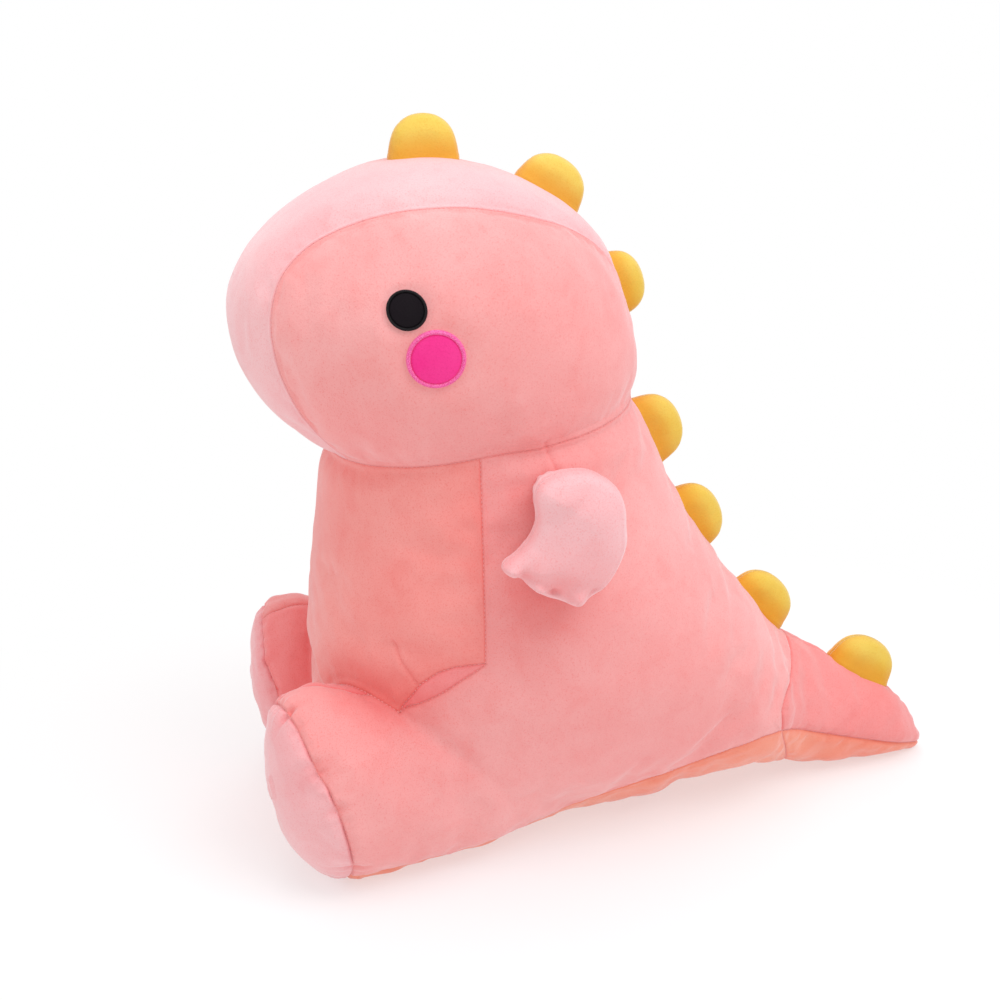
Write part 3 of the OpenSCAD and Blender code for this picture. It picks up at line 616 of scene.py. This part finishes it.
# ---------------------------------------------------------------- the sewing thread that shows in the seams
def walks(E):
    """The seam's edges as open or closed lines of vertices."""
    nb = {}
    for a, b in E: nb.setdefault(int(a), []).append(int(b)); nb.setdefault(int(b), []).append(int(a))
    used, out = set(), []
    for start in sorted(nb, key=lambda k: (len(nb[k]) == 2, k)):
        for nxt in nb[start]:
            if (start, nxt) in used: continue
            line = [start, nxt]; used |= {(start, nxt), (nxt, start)}
            while len(nb[line[-1]]) == 2:
                c = [k for k in nb[line[-1]] if (line[-1], k) not in used]
                if not c: break
                used |= {(line[-1], c[0]), (c[0], line[-1])}; line.append(c[0])
            out.append(line)
    return out

def stitches(name, pairs):
    VV, QQ = [], []
    for lo_, hi_ in pairs:
        for line in walks(SE[(sa == lo_) & (sb == hi_)]):
            P, Nn = VD[line], ND[line]
            s_ = np.concatenate([[0], np.cumsum(np.linalg.norm(np.diff(P, axis=0), axis=1))])
            if s_[-1] < 8: continue
            n = int(s_[-1]/3.4); c = (np.arange(n) + 0.5)*s_[-1]/n
            st = np.array([-1.15, -0.8, 0, 0.8, 1.15]); rad = np.array([0.12, 0.28, 0.31, 0.28, 0.12]); up = np.array([-0.35, 0.1, 0.25, 0.1, -0.35])
            u = c[:, None] + st[None]
            G = np.stack([np.interp(u, s_, P[:, k]) for k in range(3)], -1)
            M = np.stack([np.interp(u, s_, Nn[:, k]) for k in range(3)], -1); M /= np.linalg.norm(M, axis=-1, keepdims=True)
            D = G[:, -1:] - G[:, :1]; D = D/np.maximum(np.linalg.norm(D, axis=-1, keepdims=True), 1e-9)
            B = np.cross(np.broadcast_to(D, M.shape), M)
            G = G + M*up[None, :, None]
            ang = np.arange(6)*math.pi/3
            R = G[:, :, None] + rad[None, :, None, None]*(np.cos(ang)[None, None, :, None]*B[:, :, None] + np.sin(ang)[None, None, :, None]*M[:, :, None])
            k0 = sum(len(x) for x in VV); VV.append(R.reshape(-1, 3))
            base = k0 + np.arange(n)[:, None, None]*30 + np.arange(4)[None, :, None]*6
            j = np.arange(6)[None, None]; k = (j+1) % 6
            QQ.append(np.stack([base+j, base+k, base+6+k, base+6+j], -1).reshape(-1, 4))
            caps = k0 + np.arange(n)[:, None]*30
            QQ.append(np.concatenate([caps + np.array([3, 2, 1, 0]), caps + np.array([5, 4, 3, 0]), caps + 24 + np.array([0, 1, 2, 3]), caps + 24 + np.array([0, 3, 4, 5])]))
    return make(name, np.concatenate(VV), np.concatenate(QQ), THREAD, {"seam": np.zeros(sum(len(x) for x in VV))})

PAIRS = sorted(set(zip(sa.tolist(), sb.tolist())))
is_tail = lambda p: any(NAMES[i].startswith("tail") for i in p)
thread_body = stitches("seam_thread_body", [p for p in PAIRS if not is_tail(p)])
thread_tail = stitches("seam_thread_tail", [p for p in PAIRS if is_tail(p)])
# ---------------------------------------------------------------- arms, spikes and patches
def resample(P, n, closed):
    """n points at even steps along a smooth curve through P."""
    P = np.array(P, float); k = len(P)
    segs = range(k if closed else k-1); out = []
    for i in segs:
        g = lambda j: P[j % k] if closed else P[min(max(j, 0), k-1)]
        a, b, c, d = g(i-1), g(i), g(i+1), g(i+2)
        t = np.linspace(0, 1, 24, endpoint=False)[:, None]
        out.append(0.5*(2*b + (c-a)*t + (2*a-5*b+4*c-d)*t**2 + (3*b-a-3*c+d)*t**3))
    C = np.concatenate(out + ([P[:1]] if closed else [P[-1:]]))
    s = np.concatenate([[0], np.cumsum(np.linalg.norm(np.diff(C, axis=0), axis=1))])
    u = np.linspace(0, s[-1], n + 1 if closed else n)[:n]
    return np.stack([np.interp(u, s, C[:, j]) for j in range(C.shape[1])], 1)

def edge_distance(P, O, closed):
    A = O; B = np.roll(O, -1, 0) if closed else O[1:]
    A = A if closed else O[:-1]
    best = np.full(len(P), 1e9); AB = B-A; q = (AB**2).sum(1)
    for i in range(len(A)):
        t = np.clip(((P-A[i]) @ AB[i])/q[i], 0, 1)
        best = np.minimum(best, np.linalg.norm(P - (A[i] + t[:, None]*AB[i]), axis=1))
    return best

ARM_C = np.array([16.0, 302.0])
ARM_P = [(-17,333),(-15,319),(-19,304),(-27,293),(-37,285),(-40,280),(-35,274),(-27,272),(-21,266),(-14,260),(-7,256),(1,253),(8,250),(14,249),(21,250),(28,254),
         (37,260),(44,269),(50,283),(53,296),(52,309),(50,324),(44,337),(34,346),(22,352),(9,353),(0,352),(-9,348),(-15,342)]
CLAWS = [((-34, 279), 6.0), ((-17, 268), 5.0), ((13, 257), 6.5)]
def arm_mesh():
    n, K = 216, 34
    O = resample(ARM_P, n, True)
    rho = np.sin(np.linspace(0, math.pi/2, K+1))[1:]
    G = ARM_C + rho[:, None, None]*(O - ARM_C)[None]
    F = G.reshape(-1, 2)
    F = np.concatenate([[ARM_C], F])
    d = edge_distance(F, O, True)
    D = 31.0
    T0 = 24.0*np.sqrt(np.clip(1-(1-np.minimum(d, D)/D)**2, 0, 1))
    for c, r in CLAWS:                                     # each claw is a small round nub, with a dimple above it
        q = np.linalg.norm(F-np.array(c), axis=1)
        T0 = T0*(1 - (0.36 if c[0] < -30 else 0.0)*np.exp(-(q/10.0)**2))
        T0 += (3.5 if c[0] < -30 else 7.5)*np.exp(-(q/r)**2.6)*np.clip(d/3, 0, 1)
    for c, r, a in (((-25, 277), 4.5, 4.0), ((-3, 265), 4.5, 6.0), ((-6, 275), 7, 3.0), ((26, 263), 5, 3.0), ((10, 270), 7, 2.0)):   # dimples between the claws
        q = np.linalg.norm(F-np.array(c), axis=1)
        T0 -= a*np.exp(-(q/r)**2)*np.clip(d/3, 0, 1)
    T0 -= 2.0*np.exp(-((F[:, 0]*0.6-(F[:, 1]-322)*0.8+2)/6)**2)*np.exp(-(((F[:, 0]-4)/22)**2))*np.clip(d/8, 0, 1)   # the soft fold below the root
    return F, d, T0, O, n, K

def arm(sx, side):
    F, d, T0, O, n, K = arm_mesh()
    fan = np.stack([np.zeros(n, int), 1+np.arange(n), 1+(np.arange(n)+1) % n], 1)
    i = np.arange(K-1)[:, None]*n; j = np.arange(n)[None]; k = (j+1) % n
    quads = np.stack([1+i+j, 1+i+n+j, 1+i+n+k, 1+i+k], -1).reshape(-1, 4)
    P3 = np.stack([np.zeros(len(F)), F[:, 0], F[:, 1]], 1)
    wr = np.exp(-(d/9.0)**1.5)*np.clip(d/2.2, 0, 1)
    pk = 0.75*vnoise(P3, 6.5, 41) + 0.4*vnoise(P3, 12, 43)
    back = smooth(0.7*(F[:, 0]-10) - 0.7*(F[:, 1]-300), 0, 20)                     # the seam allowance shows as a low ridge round the back edge
    T = T0 + 0.6*wr*pk + 0.8*np.exp(-((d-4.5)/3)**2)*np.clip(d/2, 0, 1)*(1-back) + back*(1.0*np.exp(-((d-5.5)/1.3)**2) - 0.5*np.exp(-((d-8.5)/1.6)**2)) + np.clip(d/8, 0, 1)*(0.7*vnoise(P3, 24, 45) + 0.25*vnoise(P3, 11, 47))
    c, s = math.cos(math.radians(6)), math.sin(math.radians(6))
    out = {}
    # painted shade: darker at the sewn edge, over the lower part of the arm and in the dimples between the claws; the
    # turned-in edge is painted fully deep
    painted_shade = np.exp(-(d/1.3)**2)*0.35 + 0.4*smooth(-F[:, 1], -320, -268)*smooth(d, 3, 10)
    for pt, rr, am in (((-25, 277), 5, 0.3), ((-4, 266), 5, 0.4), ((25, 263), 5, 0.2), ((2, 275), 9, 0.2)): painted_shade += am*np.exp(-(np.linalg.norm(F-np.array(pt), axis=1)/rr)**2)
    painted_shade = np.clip(painted_shade, 0, 1)
    for half, sg in (("outer", 1), ("inner", -1)):
        x = sg*T; z = F[:, 1]-ARM_C[1]
        X = 181 + x*c + z*s; Y = F[:, 0].copy(); Z = ARM_C[1] - x*s + z*c
        painted_arm_shade = painted_shade.copy()
        if half == "inner":                                # the gathered root that is sewn to the flank
            r = np.hypot(F[:, 0]-6, F[:, 1]-324)
            ang = np.arctan2(F[:, 1]-324, F[:, 0]-6)
            b = smooth(-r, -25, -11)*np.clip(d/4, 0, 1)
            fold = 1 + 0.05*np.cos(ang*11)*smooth(r, 4, 16)
            X = X*(1-b) + (131 + 0.06*np.abs(Y))*b
            Y = 6 + (Y-6)*(1-b+b*0.82*fold); Z = 324 + (Z-324)*(1-b+b*0.82*fold)
            # painted shade at the gathered root where it meets the flank
            painted_arm_shade = np.clip(painted_arm_shade + 0.5*b, 0, 1)
        V3 = np.stack([sx*X, Y, Z], 1)
        # the edge turns in
        rim = 1 + (K-1)*n + np.arange(n); cen = np.array([181.0*sx, ARM_C[0], ARM_C[1]])
        inn = V3[rim] + (cen - V3[rim])/np.linalg.norm(cen - V3[rim], axis=1)[:, None]*2.4
        V3 = np.concatenate([V3, inn]); base = len(F)
        fl = np.stack([rim, base+np.arange(n), base+(np.arange(n)+1) % n, np.roll(rim, -1)], 1)
        f, q = fan, np.concatenate([quads, fl])
        if sg*sx < 0: f, q = f[:, ::-1], q[:, ::-1]
        out[half] = make(f"arm_{half}_{side}_cloth", V3, [f, q], PINK_ARM, {"seam": np.concatenate([painted_arm_shade, np.ones(n)])})
    return out["outer"], out["inner"]

# spikes: centre of the base (y, z), direction of the tip, base length, height
SPIKES = [(-61.5,560.0,90,57,33.5),(39,532,57,60,29),(97,456,20,56,25),(128.5,329,25,64,32),(170,247,28,65,30.5),(240,161,47,66,29.5),(346,86.5,59,68,32)]
PROF = [(0, .5), (.12, .487), (.3, .468), (.5, .435), (.66, .39), (.8, .32), (.9, .24), (.97, .14), (1, 0)]
def spike(i):
    y0, z0, a, Ln, Ht = SPIKES[i]
    half = [(-w*Ln, s*Ht) for s, w in PROF]
    O = resample([(-0.5*Ln, -9.0)] + half + [(-p[0], p[1]) for p in half[-2::-1]] + [(0.5*Ln, -9.0)], 96, False)
    c0 = np.array([0, -9.0]); n, K = len(O), 22
    rho = np.sin(np.linspace(0, math.pi/2, K+1))[1:]
    F = np.concatenate([[c0], (c0 + rho[:, None, None]*(O-c0)[None]).reshape(-1, 2)])
    d = edge_distance(F, O, False)
    D = 17.0; T0 = 14.0*np.sqrt(np.clip(1-(1-np.minimum(d, D)/D)**2, 0, 1))
    P3 = np.stack([np.full(len(F), 50.0*i), F[:, 0], F[:, 1]], 1)
    T1 = T0 + np.exp(-(d/7)**1.5)*np.clip(d/2, 0, 1)*(0.55*vnoise(P3, 5.5, 61+i)) + np.clip(d/6, 0, 1)*(0.7*vnoise(P3, 17, 71+i))
    T1 += 0.5*np.exp(-((d-3.6)/2.4)**2)*np.clip(d/2, 0, 1)
    foot = np.exp(-np.clip(F[:, 1]+1, 0, None)/3.2)
    T1 = T1 + 1.2*foot*np.clip(d/3, 0, 1)                 # it flares where it is sewn on
    fan = np.stack([np.zeros(n-1, int), 1+np.arange(n-1), 2+np.arange(n-1)], 1)
    ii = np.arange(K-1)[:, None]*n; j = np.arange(n-1)[None]
    quads = np.stack([1+ii+j, 1+ii+n+j, 1+ii+n+j+1, 1+ii+j+1], -1).reshape(-1, 4)
    ca, sa_ = math.cos(math.radians(a)), math.sin(math.radians(a))
    # painted shade: darker at the sewn edge and deeper orange towards the base where the spike meets the body; the
    # turned-in edge is painted fully deep
    painted_shade = np.clip(np.exp(-(d/1.2)**2)*0.3 + 0.85*smooth(-F[:, 1], -Ht*0.72, -1), 0, 1)
    VV, FF, QQ, painted_shade_parts = [], [], [], []
    for sg in (1, -1):
        # l runs along the base, h away from it
        l, h = F[:, 0], F[:, 1]
        Y = y0 + ca*h + sa_*l; Z = z0 + sa_*h - ca*l
        V3 = np.stack([sg*(T1 + 0.05), Y, Z], 1)
        rim = 1 + (K-1)*n + np.arange(n)
        cen = np.array([0, y0, z0]); inn = V3[rim] + (cen - V3[rim])/np.linalg.norm(cen-V3[rim], axis=1)[:, None]*1.6
        k0 = sum(len(v) for v in VV)
        fl = np.stack([rim[:-1], len(F)+np.arange(n-1), len(F)+np.arange(1, n), rim[1:]], 1)
        f, q = fan, np.concatenate([quads, fl])
        if sg < 0: f, q = f[:, ::-1], q[:, ::-1]
        VV.append(np.concatenate([V3, inn])); FF.append(f+k0); QQ.append(q+k0); painted_shade_parts.append(np.concatenate([painted_shade, np.ones(n)]))
    return make(f"spike_cloth_{i+1}", np.concatenate(VV), [np.concatenate(FF), np.concatenate(QQ)], YELLOW, {"seam": np.concatenate(painted_shade_parts)})

def head_x(y, z):
    dy, dz = y-HEAD_C[0], z-HEAD_C[1]
    q = np.hypot(dy, dz)/np.interp(np.arctan2(dz, dy), *POLAR)
    w = 160 - 0.18*np.maximum(0, -120-y) - 0.04*np.maximum(0, y)
    return w*np.maximum(1-q**2.25, 1e-6)**(1/2.35)

def disc(name, sx, c, rings, mat, n, closed, painted_shade=None):
    """A round patch that lies on the side of the head. rings is a list of radius and height over it."""
    a = np.arange(n)/n*2*math.pi
    pts = []; painted_arm_shade = []
    for r, h in rings:
        rr = np.full(n, float(r)); hh = h(a) if callable(h) else np.full(n, float(h))
        y = c[0] + rr*np.cos(a); z = c[1] + rr*np.sin(a); x = head_x(y, z)
        P = np.stack([x, y, z], 1); g = gradient(f_head, P, 0.3); g /= np.linalg.norm(g, axis=1)[:, None]
        pts.append(P + g*hh[:, None])
    V3 = np.concatenate(pts); K = len(rings)
    i = np.arange(K-1)[:, None]*n; j = np.arange(n)[None]; k = (j+1) % n
    q = np.stack([i+j, i+n+j, i+n+k, i+k], -1).reshape(-1, 4)
    f = []
    if closed:
        V3 = np.concatenate([V3, [V3[:n].mean(0)]])
        f = [np.stack([np.full(n, len(V3)-1), np.arange(n), (np.arange(n)+1) % n], 1)]
    V3[:, 0] *= sx
    F = [x if sx > 0 else x[:, ::-1] for x in f + [q]]
    return make(name, V3, F, mat, {"seam": np.zeros(len(V3)) if painted_shade is None else painted_shade(V3)})

def patch(sx, side, which, c, R, mat, thread, ribs):
    body_r = list(np.linspace(0.06, 0.80, 16)*R)
    dome = lambda r: 0.9 + 0.9*math.sqrt(max(0, 1-(r/(0.86*R))**2))
    rings = [(r, dome(r)) for r in body_r] + [(0.835*R, 0.55), (0.86*R, 0.1), (0.88*R, -0.8)]
    a = disc(f"{which}_felt_{side}", sx, c, rings, mat, 96, True)
    rib = lambda h: (lambda ang: h + 0.13*np.sign(np.sin(ang*ribs))*abs(h > 0.3))
    prof = [(0.835, -0.6), (0.85, 0.7), (0.875, 1.55), (0.91, 2.0), (0.95, 1.75), (0.98, 1.0), (1.0, 0.1), (1.01, -0.9)]
    b = disc(f"{which}_satin_{side}", sx, c, [(r*R, rib(h)) for r, h in prof], thread, ribs*4, False)
    return a, b

parts = {}
for sx, side in ((1, "left"), (-1, "right")):
    o, i = arm(sx, side)
    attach(o, "arm_" + side)
    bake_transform(i)
    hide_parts("arm_outer_" + side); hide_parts("arm_inner_" + side, "arm_filling_" + side)
    e, es = patch(sx, side, "eye", (-101.5, 465.5), 14.0, BLACK, BLACK_THREAD, 56)
    b, bs = patch(sx, side, "blush", (-82, 431), 21.0, HOT, HOT_THREAD, 84)
    for p, node, sl in ((e, "eye_", "eye_felt"), (es, "eye_edging_", "eye_thread"), (b, "blush_", "cheek_felt"), (bs, "blush_edging_", "cheek_thread")):
        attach(p, "torso"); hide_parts(node + side)
for i in range(7):
    o = spike(i)
    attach(o, f"spike_{i+1}"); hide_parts(f"spike_cover_{i+1}", f"spike_filling_{i+1}")
FILL = {"head_gusset": ["head_filling"], "belly_panel": ["body_filling"], "tail_underside": ["tail_filling"]}
for name, o in panels.items():
    if name.startswith("tail"):
        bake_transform(o)
    else:
        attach(o, "torso")
    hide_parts(name, *FILL.get(name, []))

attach(thread_body, "torso")
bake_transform(thread_tail)

# ---------------------------------------------------------------- floor, light
def stage_material(name, rgb):
    m = bpy.data.materials.new(name); t, N, K = nodes_of(m)
    out = N.new("ShaderNodeOutputMaterial"); p = N.new("ShaderNodeBsdfPrincipled"); K.new(p.outputs[0], out.inputs[0])
    p.inputs["Base Color"].default_value = lin(*rgb); p.inputs["Roughness"].default_value = 0.9
    return m
fm = bpy.data.meshes.new("floor"); s = 30
fm.from_pydata([(-s, -s, 0), (s, -s, 0), (s, s, 0), (-s, s, 0)], [], [(0, 1, 2, 3)])
floor = bpy.data.objects.new("floor", fm); scene.collection.objects.link(floor); fmat = stage_material("floor", (250, 249, 249)); fm.materials.append(fmat)
FN, FL = fmat.node_tree.nodes, fmat.node_tree.links      # the floor grows into the white backdrop away from the toy
glow = FN.new("ShaderNodeEmission"); glow.inputs[0].default_value = (1, 1, 1, 1); glow.inputs[1].default_value = 1.0
fco = FN.new("ShaderNodeTexCoord"); flen = FN.new("ShaderNodeVectorMath"); flen.operation = "LENGTH"; FL.new(fco.outputs["Object"], flen.inputs[0])
fr = FN.new("ShaderNodeMapRange"); fr.interpolation_type = "SMOOTHSTEP"
for k_, v_ in ((1, 0.34), (2, 0.72), (3, 0.5), (4, 1.0)): fr.inputs[k_].default_value = v_
FL.new(flen.outputs["Value"], fr.inputs[0])
fmix = FN.new("ShaderNodeMixShader"); fo = [n for n in FN if n.bl_idname == "ShaderNodeOutputMaterial"][0]; fp = [n for n in FN if n.bl_idname == "ShaderNodeBsdfPrincipled"][0]
FL.new(fr.outputs[0], fmix.inputs[0]); FL.new(fp.outputs[0], fmix.inputs[1]); FL.new(glow.outputs[0], fmix.inputs[2]); FL.new(fmix.outputs[0], fo.inputs[0])
world = bpy.data.worlds.new("studio"); scene.world = world; world.use_nodes = True
WN, WL = world.node_tree.nodes, world.node_tree.links
WN["Background"].inputs[0].default_value = (1, 0.985, 0.985, 1); WN["Background"].inputs[1].default_value = 0.7
backdrop = WN.new("ShaderNodeBackground"); backdrop.inputs[0].default_value = (1, 1, 1, 1); backdrop.inputs[1].default_value = 1.0
seen = WN.new("ShaderNodeLightPath"); mix = WN.new("ShaderNodeMixShader")
WL.new(seen.outputs["Is Camera Ray"], mix.inputs[0]); WL.new(WN["Background"].outputs[0], mix.inputs[1]); WL.new(backdrop.outputs[0], mix.inputs[2])
WL.new(mix.outputs[0], WN["World Output"].inputs[0])
scene.view_settings.view_transform = "Standard"; scene.view_settings.look = "None"; scene.view_settings.exposure = 0.0
def area(name, az, el, dist, size, watts, color=(1, 1, 1), aim=(0, 0, 0.28)):
    l = bpy.data.lights.new(name, "AREA"); l.energy = watts; l.size = size; l.color = color
    o = bpy.data.objects.new(name, l); scene.collection.objects.link(o)
    a, e = math.radians(az), math.radians(el)
    back = Vector((math.sin(a)*math.cos(e), -math.cos(a)*math.cos(e), math.sin(e)))
    o.location = Vector(aim) + back*dist
    o.rotation_mode = "QUATERNION"; o.rotation_quaternion = (-back).to_track_quat("-Z", "Y")
area("key", 126, 54, 2.3, 1.4, 20, (0.96, 0.97, 1))
area("top", 40, 80, 2.1, 1.3, 13, (0.94, 0.96, 1))
area("front", 8, 24, 2.4, 1.6, 5, (1, 0.97, 0.96))
area("far_side", 262, 40, 2.4, 1.5, 7, (1, 0.98, 0.98))
